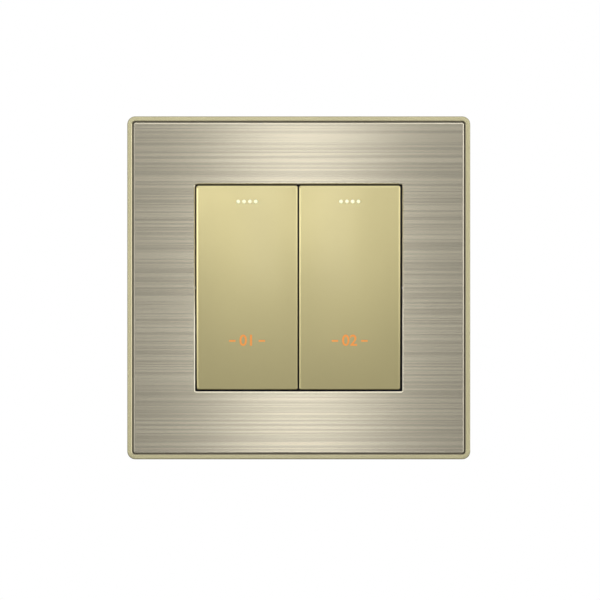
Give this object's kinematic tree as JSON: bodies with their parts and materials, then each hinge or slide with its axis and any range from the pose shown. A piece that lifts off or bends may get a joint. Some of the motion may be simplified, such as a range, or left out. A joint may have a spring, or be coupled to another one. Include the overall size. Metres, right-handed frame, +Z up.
{
  "type": "rocker wall switch",
  "caption": "Square rocker wall switch with a brushed metal face in a slim gold rim, crowned rockers over sprung seesaw contacts, and screw terminals behind a steel yoke.",
  "frame": {"origin": "centre of the plate on the wall plane, midway between the box screws", "axes": "+Z up, +X to the right seen from the front, the front faces -Y and +Y goes into the wall"},
  "size_m": [0.086, 0.0341, 0.086],
  "materials": {
    "gold_rim": "champagne-gold metallic lacquer",
    "brushed_face": "horizontally brushed, champagne anodised",
    "adhesive": "matt foam",
    "rocker_gold": "satin champagne-gold metallic lacquer",
    "dot_white": "milky translucent",
    "nylon_dark": "moulded",
    "spring_steel": "drawn wire",
    "acetal": "moulded",
    "copper": "pressed strip",
    "silver": "turned",
    "brass": "pressed and drilled",
    "zinc_screw": "zinc plated",
    "charcoal": "moulded, fine grain",
    "ivory": "moulded, fine grain",
    "black_zinc": "black passivated zinc on steel sheet"
  },
  "bodies": {
    "switch_body": {"mounting_yoke": "black_zinc", "mounting_screws": "zinc_screw", "left_module_cover": "charcoal", "left_module_base": "ivory", "left_fixed_contacts": "silver", "left_common_terminal": "brass", "left_upper_terminal": "brass", "left_lower_terminal": "brass", "left_terminal_screws": "zinc_screw", "right_module_cover": "charcoal", "right_module_base": "ivory", "right_fixed_contacts": "silver", "right_common_terminal": "brass", "right_upper_terminal": "brass", "right_lower_terminal": "brass", "right_terminal_screws": "zinc_screw"},
    "front_plate": {"front_frame": "gold_rim", "face_plate": "brushed_face", "plate_adhesive": "adhesive"},
    "left_rocker": {"left_rocker_button": "rocker_gold", "left_dot_insert": "dot_white", "left_cradle": "nylon_dark", "left_plunger_spring": "spring_steel"},
    "left_plunger": {"left_plunger": "acetal"},
    "left_seesaw": {"left_seesaw": "copper", "left_moving_contacts": "silver"},
    "right_rocker": {"right_rocker_button": "rocker_gold", "right_dot_insert": "dot_white", "right_cradle": "nylon_dark", "right_plunger_spring": "spring_steel"},
    "right_plunger": {"right_plunger": "acetal"},
    "right_seesaw": {"right_seesaw": "copper", "right_moving_contacts": "silver"}
  },
  "joints": [
    {"name": "front_plate_pull", "type": "slide", "parent": "switch_body", "child": "front_plate", "axis": [0, -1, 0], "range_m": [0, 0.022]},
    {"name": "left_rocker_tilt", "type": "hinge", "parent": "switch_body", "child": "left_rocker", "pos_m": [-0.01285, -0.007, 0], "axis": [-1, 0, 0], "range_deg": [0, 6]},
    {"name": "left_plunger_slide", "type": "slide", "parent": "left_rocker", "child": "left_plunger", "axis": [0, -0.9986, -0.0523], "range_m": [0, 0.0005], "stiffness_N_per_m": 300, "springref_m": -0.003, "deforming": ["left_plunger_spring"]},
    {"name": "left_seesaw_tilt", "type": "hinge", "parent": "switch_body", "child": "left_seesaw", "pos_m": [-0.01285, 0.0067, 0], "axis": [1, 0, 0], "range_deg": [0, 12]},
    {"name": "right_rocker_tilt", "type": "hinge", "parent": "switch_body", "child": "right_rocker", "pos_m": [0.01285, -0.007, 0], "axis": [-1, 0, 0], "range_deg": [0, 6]},
    {"name": "right_plunger_slide", "type": "slide", "parent": "right_rocker", "child": "right_plunger", "axis": [0, -0.9986, -0.0523], "range_m": [0, 0.0005], "stiffness_N_per_m": 300, "springref_m": -0.003, "deforming": ["right_plunger_spring"]},
    {"name": "right_seesaw_tilt", "type": "hinge", "parent": "switch_body", "child": "right_seesaw", "pos_m": [0.01285, 0.0067, 0], "axis": [1, 0, 0], "range_deg": [0, 12]}
  ],
  "couplings": [
    {"joint": "left_seesaw_tilt", "follows": "left_rocker_tilt", "ratio": 2},
    {"joint": "right_seesaw_tilt", "follows": "right_rocker_tilt", "ratio": 2}
  ]
}
